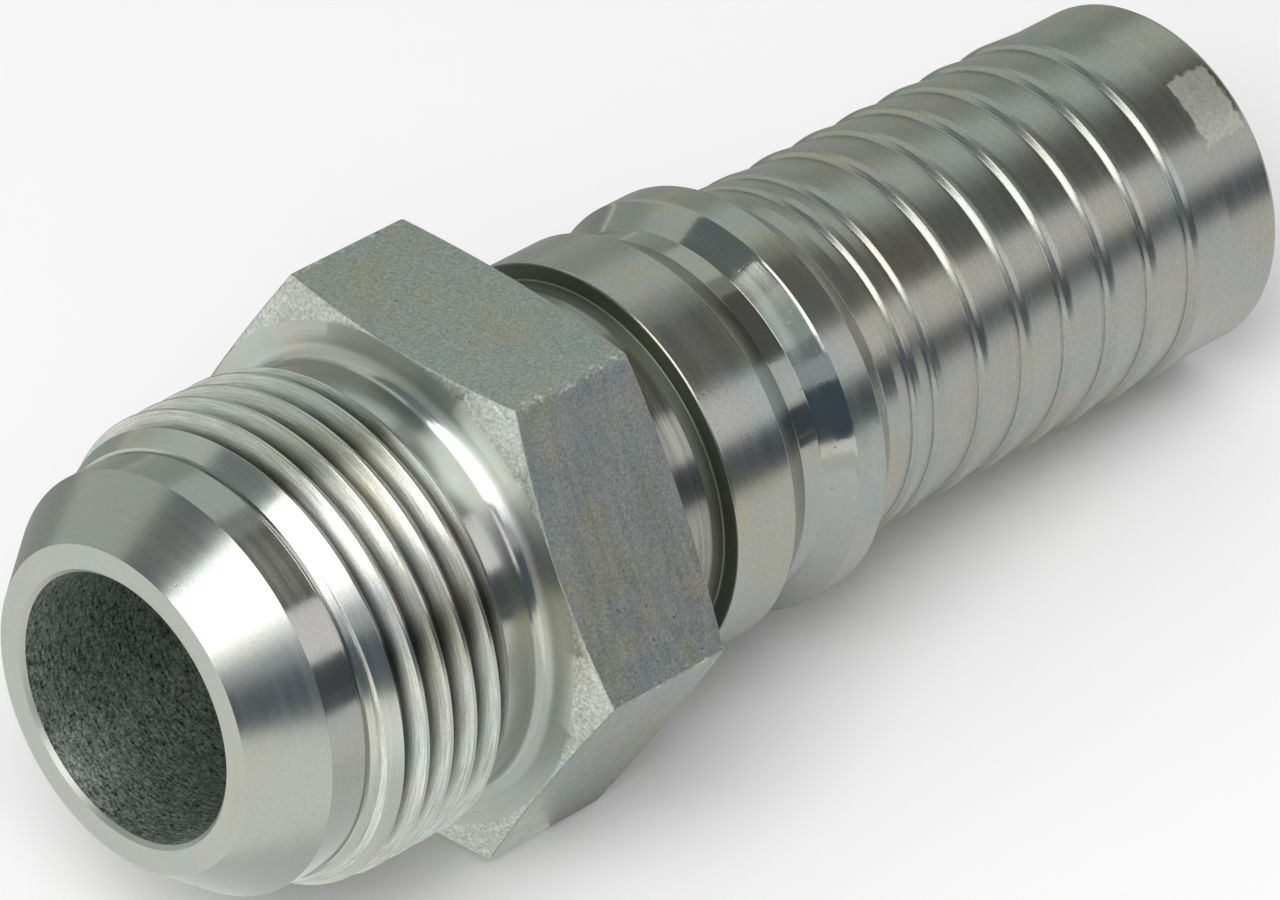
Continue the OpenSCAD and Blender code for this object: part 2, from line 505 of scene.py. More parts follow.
class Field:
    """A value in a Geometry Nodes tree that takes plain arithmetic."""

    def __init__(self, tree: bpy.types.NodeTree, socket: bpy.types.NodeSocket) -> None:
        """Hold the tree and the output socket that gives the value."""
        self.tree = tree
        self.socket = socket

    def math(self, operation: str, *others: "Field | float") -> "Field":
        """Apply a Math node.

        Args:
            operation: the node's operation.
            others: its other inputs.

        Returns:
            The result.
        """
        node = self.tree.nodes.new("ShaderNodeMath")
        node.operation = operation
        for slot, value in zip(node.inputs, (self, *others)):
            if isinstance(value, Field):
                self.tree.links.new(value.socket, slot)
            else:
                slot.default_value = float(value)
        return Field(self.tree, node.outputs[0])

    def __add__(self, other: "Field | float") -> "Field":
        """Sum."""
        return self.math("ADD", other)

    def __sub__(self, other: "Field | float") -> "Field":
        """Difference."""
        return self.math("SUBTRACT", other)

    def __mul__(self, other: "Field | float") -> "Field":
        """Product."""
        return self.math("MULTIPLY", other)

    def __truediv__(self, other: "Field | float") -> "Field":
        """Quotient."""
        return self.math("DIVIDE", other)

    def least(self, *others: "Field | float") -> "Field":
        """Smallest of this value and the others."""
        out = self
        for other in others:
            out = out.math("MINIMUM", other)
        return out

    def most(self, *others: "Field | float") -> "Field":
        """Largest of this value and the others."""
        out = self
        for other in others:
            out = out.math("MAXIMUM", other)
        return out

    def held(self, low: "Field | float", high: "Field | float") -> "Field":
        """This value, held between two others."""
        return self.most(low).least(high)

    def degrees_sin(self) -> "Field":
        """Sine of an angle in degrees."""
        return self.math("RADIANS").math("SINE")

    def degrees_cos(self) -> "Field":
        """Cosine of an angle in degrees."""
        return self.math("RADIANS").math("COSINE")


class Nodes:
    """A node tree under construction."""

    def __init__(self, tree: bpy.types.NodeTree) -> None:
        """Hold the tree."""
        self.tree = tree

    def feed(self, value: object, target: bpy.types.NodeSocket) -> None:
        """Give an input a field, another node's output or a plain value."""
        source = value.socket if isinstance(value, Field) else value
        if isinstance(source, bpy.types.NodeSocket):
            self.tree.links.new(source, target)
        else:
            target.default_value = source

    def node(self, kind: str, inputs: dict[str | int, object] | None = None,
             **settings: object) -> bpy.types.Node:
        """Add a node.

        Args:
            kind: the node's type.
            inputs: what its inputs get, by the input's name or number.
            settings: the node's properties, which are set first.

        Returns:
            The node.
        """
        node = self.tree.nodes.new(kind)
        for key, value in settings.items():
            setattr(node, key, value)
        for slot, value in (inputs or {}).items():
            self.feed(value, node.inputs[slot])
        return node

    def vector(self, operation: str, inputs: dict[str | int, object]) -> bpy.types.NodeSocket:
        """Output of a new Vector Math node, whose inputs are given as for node."""
        return self.node("ShaderNodeVectorMath", inputs, operation=operation).outputs[0]

    def field(self, socket: bpy.types.NodeSocket) -> Field:
        """Wrap an output socket."""
        return Field(self.tree, socket)


@dataclass(frozen=True)
class Lattice:
    """The grid that becomes the surface, with its points' angles and a reader of their rows' values."""

    mesh: bpy.types.NodeSocket
    angle: Field
    read: Callable[[str], Field]


class Tree(Nodes):
    """A Geometry Nodes tree under construction, with named inputs."""

    flat_weight = 80

    def __init__(self, name: str) -> None:
        """Start an empty tree that takes and gives a geometry."""
        super().__init__(bpy.data.node_groups.new(name, "GeometryNodeTree"))
        for way in ("INPUT", "OUTPUT"):
            self.tree.interface.new_socket("Geometry", in_out=way, socket_type="NodeSocketGeometry")
        self.group_in = self.tree.nodes.new("NodeGroupInput")
        self.group_out = self.tree.nodes.new("NodeGroupOutput")
        self.values: dict[str, float] = {}

    def size(self, name: str, value: float) -> Field:
        """Add a named size to the tree's inputs.

        Args:
            name: the input's name.
            value: its value on the modifier.

        Returns:
            The input as a field.
        """
        item = self.tree.interface.new_socket(name, in_out="INPUT", socket_type="NodeSocketFloat")
        self.values[item.identifier] = value
        return self.field(self.group_in.outputs[name])

    def step(self, geometry: bpy.types.NodeSocket, kind: str,
             inputs: dict[str | int, object] | None = None, **settings: object) -> bpy.types.NodeSocket:
        """Put a geometry through one more node.

        Args:
            geometry: what goes in.
            kind: the node's type.
            inputs: what its other inputs get.
            settings: the node's properties.

        Returns:
            What comes out.
        """
        return self.node(kind, {"Geometry": geometry, **(inputs or {})}, **settings).outputs[0]

    def apply(self, carrier: bpy.types.Object, name: str) -> bpy.types.Object:
        """Run the tree on an object in millimetres and keep the result as a plain mesh in metres.

        Args:
            carrier: the object that holds the tree's input geometry; it is removed.
            name: name of the finished piece.

        Returns:
            The finished piece, with no modifier.
        """
        modifier = carrier.modifiers.new("shape", "NODES")
        modifier.node_group = self.tree
        for identifier, value in self.values.items():
            modifier[identifier] = value
        keep_flat = carrier.modifiers.new("flat faces", "WEIGHTED_NORMAL")
        keep_flat.keep_sharp = True
        keep_flat.weight = self.flat_weight
        graph = bpy.context.evaluated_depsgraph_get()
        mesh = bpy.data.meshes.new_from_object(carrier.evaluated_get(graph), depsgraph=graph)
        carrier.modifiers.clear()
        bpy.data.objects.remove(carrier)
        mesh.transform(Matrix.Scale(MM, 4))
        piece = bpy.data.objects.new(name, mesh)
        mesh.name = name
        bpy.context.scene.collection.objects.link(piece)
        return piece


# The body


@dataclass
class FittingBody:
    """The one-piece fitting: a turned hexagon bar with a helical thread."""

    axis: PartAxis
    bore: Bore
    nose: Nose = field(default_factory=Nose)
    thread: Thread = field(default_factory=Thread)
    hexagon: Hexagon = field(default_factory=Hexagon)
    shell_lock: ShellLock = field(default_factory=ShellLock)
    tail: HoseTail = field(default_factory=HoseTail)
    columns_per_flat: int = 48
    merge: float = 0.0015
    row_margin: float = 0.001
    sharp_angle: float = 42.0

    def section(self) -> Section:
        """Draw the whole section.

        Returns:
            The closed section of one half of the part.
        """
        section = Section()
        self.nose.draw(section)
        self.thread.draw(section)
        self.hexagon.draw(section, self.thread.relief_radius)
        neck = self.shell_lock.draw(section, self.hexagon.rear, self.tail.neck_radius)
        end = self.tail.draw(section, neck)
        self.bore.draw(section, end)
        return section

    def build(self, finishes: dict[Zone, bpy.types.Material]) -> bpy.types.Object:
        """Build the body's mesh.

        Args:
            finishes: the material of each zone.

        Returns:
            The finished piece.
        """
        rows = self.section().rows()
        rows.append(rows[0])
        LOG.info("section has %d rows", len(rows))
        tree = Tree("turned hexagon bar")
        carrier = self._row_table(rows)
        station, radius, lattice = self._surface(tree, len(rows))
        self._finish(tree, station, radius, lattice, finishes)
        return tree.apply(carrier, "fitting_body_detail")

    @staticmethod
    def _row_table(rows: Sequence[Corner]) -> bpy.types.Object:
        """Store the rows as points with attributes.

        Args:
            rows: the section's rows.

        Returns:
            An object whose mesh has one loose point for each row.
        """
        mesh = bpy.data.meshes.new("rows")
        mesh.vertices.add(len(rows))
        for name in ("station", "radius", "lean", "inset", "hexed", "turn", "part", "zone"):
            layer = mesh.attributes.new(name, "FLOAT", "POINT")
            layer.data.foreach_set("value", [float(getattr(row, name)) for row in rows])
        carrier = bpy.data.objects.new("rows", mesh)
        bpy.context.scene.collection.objects.link(carrier)
        return carrier

    def _surface(self, tree: Tree, rows: int) -> tuple[Field, Field, Lattice]:
        """Build the nodes that give each mesh point its station and radius.

        Args:
            tree: the tree to build in.
            rows: number of rows.

        Returns:
            The station, the radius, and the lattice for the nodes that follow.
        """
        sector = self.columns_per_flat
        columns = 6 * sector + 1
        grid = tree.node("GeometryNodeMeshGrid",
                         dict(enumerate((float(columns - 1), float(rows - 1), columns, rows))))
        split = tree.node("ShaderNodeSeparateXYZ", {0: tree.node("GeometryNodeInputPosition").outputs[0]})
        column = (tree.field(split.outputs[0]) + (columns - 1) / 2).math("ROUND")
        row = (tree.field(split.outputs[1]) + (rows - 1) / 2 + self.row_margin).math("FLOOR")

        def read(name: str) -> Field:
            """Value of a row attribute at this point's or face's row."""
            named = tree.node("GeometryNodeInputNamedAttribute", {"Name": name}, data_type="FLOAT")
            inputs = {"Geometry": tree.group_in.outputs[0], "Value": named.outputs[0], "Index": row}
            sample = tree.node("GeometryNodeSampleIndex", inputs, data_type="FLOAT", domain="POINT")
            return tree.field(sample.outputs[0])

        half_width = tree.size("Half width over flats", self.hexagon.half_width)
        corner = tree.size("Corner radius", self.hexagon.corner_radius)
        even_span = 30.0 - 30.0 / sector
        flat_span = (half_width / corner).math("ARCCOSINE").math("DEGREES")
        span = read("hexed") * (flat_span - even_span) + even_span
        across = column.math("MODULO", sector) / (sector - 1.0) * 2.0 - 1.0
        angle = (column / float(sector)).math("FLOOR") * 60.0 + across * span
        off_flat = (((angle + 30.0).math("MODULO", 60.0) + 60.0).math("MODULO", 60.0)) - 30.0
        flat_radius = half_width / off_flat.degrees_cos()
        base_radius = read("radius")
        plain_radius = base_radius.least(flat_radius) - read("inset")
        plain_station = read("station") + (plain_radius - base_radius) * read("lean")
        part = read("part")
        thread_station, thread_radius = self._thread_lines(tree, angle, read("turn"), part)
        threaded = part.math("GREATER_THAN", 0.5)
        station = plain_station + threaded * (thread_station - plain_station)
        radius = plain_radius + threaded * (thread_radius - plain_radius)
        return station, radius, Lattice(grid.outputs["Mesh"], angle, read)

    def _thread_lines(self, tree: Tree, angle: Field, turn: Field, part: Field) -> tuple[Field, Field]:
        """Build the nodes that put the thread's rows on its helical lines.

        Args:
            tree: the tree to build in.
            angle: angle round the axis, in degrees from the upper flat.
            turn: the groove that a row belongs to.
            part: the line of the groove that a row follows.

        Returns:
            The station and the radius of a thread row.
        """
        t = self.thread
        names = ("pitch", "crest_radius", "root_radius", "root_half", "first_groove", "lead_in_radius",
                 "relief_radius", "start", "wall_end", "lip", "entry", "cone_break", "crest_end")
        sizes = {name: tree.size(f"Thread {name}", getattr(t, name)) for name in names}
        pitch, crest, root, root_half, first, foot = [sizes[name] for name in names[:6]]
        relief, start, wall_end, lip, entry, cone_break, crest_end = [sizes[name] for name in names[6:]]
        cone = tan_deg(t.lead_in_angle)
        wall = tan_deg(t.wall_angle)
        steep = 1 / tan_deg(t.flank_angle)
        centre = first + pitch * (turn + angle / 360.0)
        wall_at_root = wall_end - (root - relief) / wall

        def edges(middle: Field) -> tuple[Field, Field]:
            """Stations at which a groove's two flanks come out of the surface."""
            left, right = middle - root_half, middle + root_half
            on_crest = left - (crest - root) / steep
            on_cone = (root - foot + start * cone + left * steep) / (cone + steep)
            on_wall = (root - relief - wall_end * wall + left * steep) / (steep - wall)
            left_edge = on_crest.most(on_cone, on_wall).least(left).most(entry)
            on_crest = right + (crest - root) / steep
            on_cone = (root - foot + start * cone - right * steep) / (cone - steep)
            on_wall = (relief - root + wall_end * wall + right * steep) / (wall + steep)
            right_edge = on_crest.least(on_cone, on_wall).most(right).least(wall_at_root)
            return left_edge.least(right_edge).held(start, wall_end), right_edge.held(start, wall_end)

        left_edge, right_edge = edges(centre)
        right_before = edges(centre - pitch)[1]
        left_after = edges(centre + pitch)[0]
        root_left = (centre - root_half).held(left_edge, right_edge)
        root_right = (centre + root_half).held(left_edge, right_edge)
        land_before = (left_edge - lip).most((right_before + left_edge) / 2.0)
        land_after = (right_edge + lip).least((right_edge + left_after) / 2.0)
        next_land = (left_after - lip).most((right_edge + left_after) / 2.0)
        choices = {
            Part.LEFT_LAND: land_before,
            Part.LEFT_LIP: (left_edge + lip / 2.0).least(root_left),
            Part.ROOT_LEFT: root_left,
            Part.ROOT_RIGHT: root_right,
            Part.RIGHT_LIP: (right_edge - lip / 2.0).most(root_right),
            Part.RIGHT_LAND: land_after,
            Part.CONE_BREAK: cone_break.held(land_after, next_land),
            Part.WALL_BREAK: crest_end.held(land_after, next_land),
        }
        pick = tree.node("GeometryNodeIndexSwitch", data_type="FLOAT")
        while len(pick.index_switch_items) < len(Part):
            pick.index_switch_items.new()
        tree.feed(part.math("ROUND"), pick.inputs["Index"])
        for line, value in choices.items():
            tree.feed(value, pick.inputs[1 + int(line)])
        station = tree.field(pick.outputs[0]).held(start, wall_end)
        outer = (foot + (station - start) * cone).least(crest, relief + (wall_end - station) * wall)
        groove = root + ((station - centre).math("ABSOLUTE") - root_half).most(0.0) * steep
        return station, outer.least(groove)

    def _finish(self, tree: Tree, station: Field, radius: Field, lattice: Lattice,
                finishes: dict[Zone, bpy.types.Material]) -> None:
        """Build the nodes that place the points, close the mesh and dress its zones.

        Args:
            tree: the tree to build in.
            station: station of each point, in millimetres.
            radius: radius of each point, in millimetres.
            lattice: the grid to bend into the surface.
            finishes: the material of each zone.
        """
        angle = lattice.angle
        place: bpy.types.NodeSocket | None = None
        amounts = (station, radius * angle.degrees_cos(), radius * angle.degrees_sin())
        for amount, direction in zip(amounts, (self.axis.along, self.axis.up, self.axis.side)):
            term = tree.vector("SCALE", {0: direction, "Scale": amount})
            place = term if place is None else tree.vector("ADD", {0: place, 1: term})
        shape = tree.step(lattice.mesh, "GeometryNodeStoreNamedAttribute",
                          {"Name": "zone", "Value": lattice.read("zone")}, data_type="FLOAT", domain="FACE")
        shape = tree.step(shape, "GeometryNodeSetPosition", {"Position": place})
        shape = tree.step(shape, "GeometryNodeMergeByDistance", {"Distance": self.merge})
        shape = tree.step(shape, "GeometryNodeSetShadeSmooth")
        bend = tree.field(tree.node("GeometryNodeInputMeshEdgeAngle").outputs["Unsigned Angle"])
        sharp = bend.math("GREATER_THAN", math.radians(self.sharp_angle))
        shape = tree.step(shape, "GeometryNodeSetShadeSmooth", {"Shade Smooth": False, "Selection": sharp},
                          domain="EDGE")
        shape = tree.step(shape, "GeometryNodeRealizeInstances")
        stored = tree.node("GeometryNodeInputNamedAttribute", {"Name": "zone"}, data_type="FLOAT")
        for zone, material in finishes.items():
            chosen = tree.field(stored.outputs[0]).math("COMPARE", float(zone), 0.5)
            shape = tree.step(shape, "GeometryNodeSetMaterial", {"Material": material, "Selection": chosen})
        tree.feed(shape, tree.group_out.inputs[0])


# Studio


@dataclass(frozen=True)
class Card:
    """A long card beside the part, seen only in its reflections.

    arc is its span round the part in degrees, from the direction of the camera down towards the floor,
    and reach its span along the part in metres from the nose.
    """

    name: str
    arc: tuple[float, float]
    reach: tuple[float, float]
    radiance: tuple[float, float, float]
    distance: float = 0.6


@dataclass(frozen=True)
class FloorCard:
    """A card on the floor, seen only in the part's reflections. Spans are in metres."""

    name: str
    along: tuple[float, float]
    across: tuple[float, float]
    radiance: tuple[float, float, float]


@dataclass
class Studio:
    """Pale floor, white surroundings, cards and the camera."""

    camera_place: Vector = field(default_factory=lambda: Vector((-0.32425, -0.37409, 0.40829)))
    forward: Vector = field(default_factory=lambda: Vector((0.554229, 0.558518, -0.617161)))
    right: Vector = field(default_factory=lambda: Vector((0.706260, -0.707923, -0.006414)))
    lens: float = 281.25
    sensor: float = 36.0
    sight: tuple[float, float] = (0.05, 20.0)
    floor_half: float = 3.0
    floor_colour: tuple[float, float, float] = (0.93, 0.93, 0.93)
    floor_roughness: float = 0.9
    floor_shine: float = 0.1
    near_elevation: float = 47.5
    part_middle: float = 0.048
    world_light: float = 0.62
    lamp_place: Vector = field(default_factory=lambda: Vector((-0.35, -0.22, 0.55)))
    lamp_size: float = 0.5
    lamp_power: float = 3.4
    card_lift: float = 0.0003
    panel_station: float = -1.0
    panel_across: tuple[float, float] = (-0.02, 0.4)
    panel_height: tuple[float, float] = (-0.01, 0.34)
    panel_radiance: tuple[float, float, float] = (2.4, 2.42, 2.38)
    cards: tuple[Card, ...] = (
        Card("key", (-46, -3), (-0.5, -0.004), (3.5, 3.5, 3.5), 0.12),
        Card("key_top", (-46, -3), (0.019, 0.075), (3.2, 3.2, 3.0), 0.12),
        Card("behind_gap", (-46, -3), (-0.112, 0.03), (3.3, 3.3, 3.25), 0.61),
        Card("behind_key_high", (-46, -33), (-1.2, 0.048), (0.1, 0.12, 0.12), 0.62),
        Card("behind_key", (-33, -3), (-1.2, 0.048), (0.36, 0.41, 0.4), 0.62),
        Card("fade_high", (-3, 6), (-0.5, -0.009), (1.6, 1.62, 1.65), 0.12),
        Card("behind_fade", (-3, 6), (-1.2, 0.048), (0.3, 0.33, 0.34), 0.62),
        Card("fade_low", (6, 19), (-1.2, 0.048), (0.6, 0.63, 0.66)),
        Card("dark_over_tail", (-48, 5), (0.048, 2.5), (0.16, 0.16, 0.15), 0.62),
        Card("window", (-3, 29), (0.048, 0.52), (1.35, 1.31, 1.35)),
        Card("window_middle", (3, 32), (0.52, 0.75), (0.82, 0.8, 0.78)),
        Card("window_far", (3, 40), (0.75, 2.5), (1.06, 1.04, 1.04)),
        Card("horizon_nose", (19, 49), (-1.2, 0.048), (0.1, 0.13, 0.17)),
        Card("horizon_tail", (28, 49), (0.048, 2.5), (0.1, 0.115, 0.135), 0.62),
        Card("far_top_tail", (-62, -48), (0.048, 2.5), (0.4, 0.42, 0.4)),
        Card("far_tail", (-98, -62), (0.048, 2.5), (0.76, 0.82, 0.78)),
        Card("far_top_nose", (-84, -46), (-1.2, 0.048), (0.24, 0.27, 0.28)),
        Card("far_wall_near", (-131, -98), (0.048, 0.53), (0.52, 0.56, 0.5)),
        Card("far_wall", (-131, -98), (0.53, 2.5), (0.4, 0.43, 0.38)),
        Card("far_wall_nose", (-131, -84), (-1.2, 0.048), (0.76, 0.8, 0.74)),
    )
    floor_cards: tuple[FloorCard, ...] = (
        FloorCard("far_floor", (-0.002, 2.5), (0.035, 0.65), (0.4, 0.43, 0.4)),
        FloorCard("near_floor", (0.03, 0.17), (-0.65, -0.17), (0.1, 0.12, 0.14)),
        FloorCard("near_floor_tail", (0.17, 2.5), (-0.65, -0.11), (0.1, 0.12, 0.14)),
        FloorCard("before_nose", (-1.2, -0.002), (-0.65, 0.12), (1.25, 1.27, 1.22)),
        FloorCard("under_nose", (-0.002, 0.028), (-0.65, 0.035), (0.88, 0.9, 0.87)),
    )

    def build(self) -> None:
        """Make the camera, the floor, the world and the cards."""
        self._camera()
        self._floor()
        self._world()
        self._lamp()
        for card in self.cards:
            self._card(card)
        for card in self.floor_cards:
            self._floor_card(card)
        self._front_panel()

    def _camera(self) -> None:
        """Place the camera as the photograph's, and make it the scene's."""
        data = bpy.data.cameras.new("camera")
        data.lens, data.sensor_width = self.lens, self.sensor
        data.clip_start, data.clip_end = self.sight
        camera = bpy.data.objects.new("camera", data)
        up = self.right.cross(self.forward).normalized()
        turn = Matrix((self.right.normalized(), up, -self.forward.normalized())).transposed()
        camera.matrix_world = Matrix.Translation(self.camera_place) @ turn.to_4x4()
        bpy.context.scene.collection.objects.link(camera)
        bpy.context.scene.camera = camera

    def _plane(self, name: str, corners: Sequence[Vector]) -> bpy.types.Object:
        """Make one four-sided face as a stage object.

        Args:
            name: the object's name.
            corners: its four corners, in metres.

        Returns:
            The object, linked to the scene and marked as stage.
        """
        mesh = bpy.data.meshes.new(name)
        mesh.from_pydata([tuple(c) for c in corners], [], [(0, 1, 2, 3)])
        plane = bpy.data.objects.new(name, mesh)
        bpy.context.scene.collection.objects.link(plane)
        plane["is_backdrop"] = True
        return plane

    def _floor(self) -> None:
        """Lay the floor at the lowest point of the part."""
        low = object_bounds()[0].z
        half = self.floor_half
        corners = [Vector((x * half, y * half, low)) for x, y in ((-1, -1), (1, -1), (1, 1), (-1, 1))]
        floor = self._plane("floor", corners)
        paper = bpy.data.materials.new("floor paper")
        paper.use_nodes = True
        inputs = paper.node_tree.nodes["Principled BSDF"].inputs
        inputs["Base Color"].default_value = (*self.floor_colour, 1.0)
        inputs["Roughness"].default_value = self.floor_roughness
        inputs["Specular IOR Level"].default_value = self.floor_shine
        floor.data.materials.append(paper)

    def _world(self) -> None:
        """White surroundings for what looks at them, and a softer light for what they light."""
        world = bpy.data.worlds.new("studio")
        bpy.context.scene.world = world
        world.use_nodes = True
        nodes = Nodes(world.node_tree)
        path = nodes.node("ShaderNodeLightPath").outputs
        seen = nodes.field(path["Is Camera Ray"])
        for other in ("Is Glossy Ray", "Is Transmission Ray"):
            seen = seen.most(nodes.field(path[other]))
        level = nodes.node("ShaderNodeMapRange", {"Value": seen, "To Min": self.world_light, "To Max": 1.0})
        background = world.node_tree.nodes["Background"]
        nodes.feed(level.outputs[0], background.inputs["Strength"])
        background.inputs["Color"].default_value = (1.0, 1.0, 1.0, 1.0)

    def _lamp(self) -> None:
        """Hang a wide lamp before the nose, which gives the floor its shadow."""
        data = bpy.data.lights.new("lamp", "AREA")
        data.size = self.lamp_size
        data.energy = self.lamp_power
        lamp = bpy.data.objects.new("lamp", data)
        aim = Vector((self.part_middle, 0.0, 0.0)) - self.lamp_place
        turn = aim.to_track_quat("-Z", "Y").to_matrix().to_4x4()
        lamp.matrix_world = Matrix.Translation(self.lamp_place) @ turn
        lamp.visible_camera = False
        lamp.visible_glossy = False
        bpy.context.scene.collection.objects.link(lamp)

    def _glow(self, name: str, corners: Sequence[Vector], radiance: tuple[float, float, float]) -> None:
        """Make a face that only reflections see.

        Args:
            name: the card's name.
            corners: its four corners, in metres.
            radiance: how bright it looks, where 1 is white.
        """
        plane = self._plane(f"card_{name}", corners)
        glow = bpy.data.materials.new(f"card {name}")
        glow.use_nodes = True
        glow.node_tree.nodes.clear()
        nodes = Nodes(glow.node_tree)
        light = nodes.node("ShaderNodeEmission", {"Color": (*radiance, 1.0)})
        nodes.node("ShaderNodeOutputMaterial", {"Surface": light.outputs[0]})
        plane.data.materials.append(glow)
        for ray in ("camera", "shadow", "diffuse", "transmission"):
            setattr(plane, f"visible_{ray}", False)

    def _card(self, card: Card) -> None:
        """Hang one card round the part."""
        out = card.distance

        def point(x: float, turn: float) -> Vector:
            """Corner of the card at a place along the part and an angle round it."""
            rise = math.radians(self.near_elevation - turn)
            return Vector((x, -math.cos(rise) * out, math.sin(rise) * out))
        (first, last), (near, far) = card.arc, card.reach
        corners = [point(near, first), point(far, first), point(far, last), point(near, last)]
        self._glow(card.name, corners, card.radiance)

    def _floor_card(self, card: FloorCard) -> None:
        """Lay one card just above the floor."""
        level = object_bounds()[0].z + self.card_lift
        (left, right), (near, far) = card.along, card.across
        spans = ((left, near), (right, near), (right, far), (left, far))
        self._glow(card.name, [Vector((x, y, level)) for x, y in spans], card.radiance)

    def _front_panel(self) -> None:
        """Stand a bright panel before the nose, a little to its far side."""
        (near, far), (low, high) = self.panel_across, self.panel_height
        spans = ((near, low), (far, low), (far, high), (near, high))
        self._glow("front", [Vector((self.panel_station, y, z)) for y, z in spans], self.panel_radiance)


# Finishes


Colour = tuple[float, float, float]
OLIVE: Colour = (1.03, 1.01, 0.84)
RUSTY: Colour = (1.08, 0.98, 0.86)
BLUISH: Colour = (0.9, 1.01, 1.03)


class Pattern(IntEnum):
    """Seeds that keep the noises of one finish apart."""

    FINE = 0
    CLOUD = 2
    RAGGED = 5
    FILM = 7
    WORN = 9
    SPECK = 11
    SCRATCH = 17
    NICK = 23
    BROAD = 31
    WAVER = 53


class Surface(Nodes):
    """A metal material's nodes, with the point's place on the part at hand. Lengths are in millimetres."""

    mark_circle = 15.0

    def __init__(self, name: str, axis: PartAxis) -> None:
        """Start the material and work out the point's station, radius and direction from the axis."""
        self.material = bpy.data.materials.new(name)
        self.material.use_nodes = True
        super().__init__(self.material.node_tree)
        self.shader = self.tree.nodes["Principled BSDF"]
        self.shader.inputs["Metallic"].default_value = 1.0
        metres = self.node("ShaderNodeTexCoord").outputs["Object"]
        self.place = self.vector("SCALE", {0: metres, "Scale": 1 / MM})
        self.station = self._along(axis.along)
        height, reach = self._along(axis.up), self._along(axis.side)
        self.radius = (height * height + reach * reach).math("SQRT")
        self.rise, self.swing = height / self.radius, reach / self.radius
        self.angle = reach.math("ARCTAN2", height).math("DEGREES")
        around = self.vector("CROSS_PRODUCT", {0: axis.along, 1: self.place})
        self.tangent = self.vector("NORMALIZE", {0: around})
        self.feed(self.tangent, self.shader.inputs["Tangent"])

    def _along(self, direction: Vector) -> Field:
        """How far the point lies along a direction."""
        node = self.node("ShaderNodeVectorMath", {0: self.place, 1: direction}, operation="DOT_PRODUCT")
        return self.field(node.outputs["Value"])

    def _noise(self, inputs: dict[str | int, object]) -> Field:
        """A noise with the inputs given by name."""
        return self.field(self.node("ShaderNodeTexNoise", inputs, noise_dimensions="4D").outputs["Fac"])

    def grain(self, size: float, detail: float, seed: Pattern = Pattern.FINE) -> Field:
        """Even noise.

        Args:
            size: size of its spots.
            detail: how many finer layers it has.
            seed: picks the pattern.

        Returns:
            The noise, about 0.5 on the whole.
        """
        return self._noise({"Scale": 1 / size, "Detail": detail, "W": float(seed), "Vector": self.place})

    def lines(self, pitch: float, run: float, detail: float = 2.0, seed: Pattern = Pattern.FINE) -> Field:
        """Turning marks that run round the axis.

        Args:
            pitch: distance between the marks.
            run: how far a mark keeps its strength, as a length round the mark circle.
            detail: how many finer layers the marks have.
            seed: picks the pattern.

        Returns:
            The marks' noise, about 0.5 on the whole.
        """
        reach = self.mark_circle / run
        spot = (self.station / pitch + float(seed), self.radius / pitch, self.rise * reach)
        place = self.node("ShaderNodeCombineXYZ", dict(enumerate(spot))).outputs[0]
        return self._noise({"Scale": 1.0, "Detail": detail, "Vector": place, "W": self.swing * reach})

    def spread(self, value: Field, low: float, high: float, start: float = 0.0, end: float = 1.0) -> Field:
        """Stretch a range of a value softly onto another range.

        Args:
            value: the value.
            low: where the range starts.
            high: where it ends.
            start: what low becomes.
            end: what high becomes.

        Returns:
            The stretched value.
        """
        names = ("Value", "From Min", "From Max", "To Min", "To Max")
        inputs = dict(zip(names, (value, low, high, start, end)))
        return self.field(self.node("ShaderNodeMapRange", inputs, interpolation_type="SMOOTHSTEP").outputs[0])

    def tinted(self, colour: Colour | bpy.types.NodeSocket, tint: Colour,
               share: Field) -> bpy.types.NodeSocket:
        """Tint a colour.

        Args:
            colour: the colour to start from.
            tint: what it is multiplied by.
            share: how much of the tint it takes.

        Returns:
            The tinted colour.
        """
        first = (*colour, 1.0) if isinstance(colour, tuple) else colour
        inputs = {"Factor": share, "A": first, "B": (*tint, 1.0)}
        return self.node("ShaderNodeMix", inputs, data_type="RGBA", blend_type="MULTIPLY").outputs["Result"]

    def raise_by(self, height: Field, waver: Field) -> None:
        """Give the surface a relief.

        Args:
            height: the relief's height in millimetres.
            waver: how far the surface leans round the axis, as a slope.
        """
        bump = self.node("ShaderNodeBump", {"Distance": MM, "Height": height}).outputs[0]
        lean = self.vector("MULTIPLY_ADD", {0: self.tangent, 1: waver, 2: bump})
        self.feed(self.vector("NORMALIZE", {0: lean}), self.shader.inputs["Normal"])


@dataclass(frozen=True)
class WornPatch:
    """A ragged patch rubbed brighter than the rest; angles are in degrees from the upper flat."""

    stations: tuple[float, float] = (92.5, 96.3)
    angles: tuple[float, float] = (23.0, 46.5)
    ragged: float = 1.3
    degree_length: float = 0.22
    border: float = 0.12
    mottle_size: float = 0.3
    mottle: float = 0.9
    level: float = 0.45
    roughness: float = 0.24
    height: float = 0.001

    def mask(self, surface: Surface) -> Field:
        """Where the patch lies.

        Args:
            surface: the material's nodes.

        Returns:
            One inside the patch and nought outside it.
        """
        shake = (surface.grain(0.7, 6.0, Pattern.RAGGED) - 0.5) * self.ragged
        past = []
        for value, (low, high) in ((surface.station, self.stations), (surface.angle, self.angles)):
            past.append((value - (low + high) / 2).math("ABSOLUTE") - (high - low) / 2)
        outside = past[0].most(past[1] * self.degree_length) + shake
        return surface.spread(outside, -self.border, self.border, 1.0, 0.0)


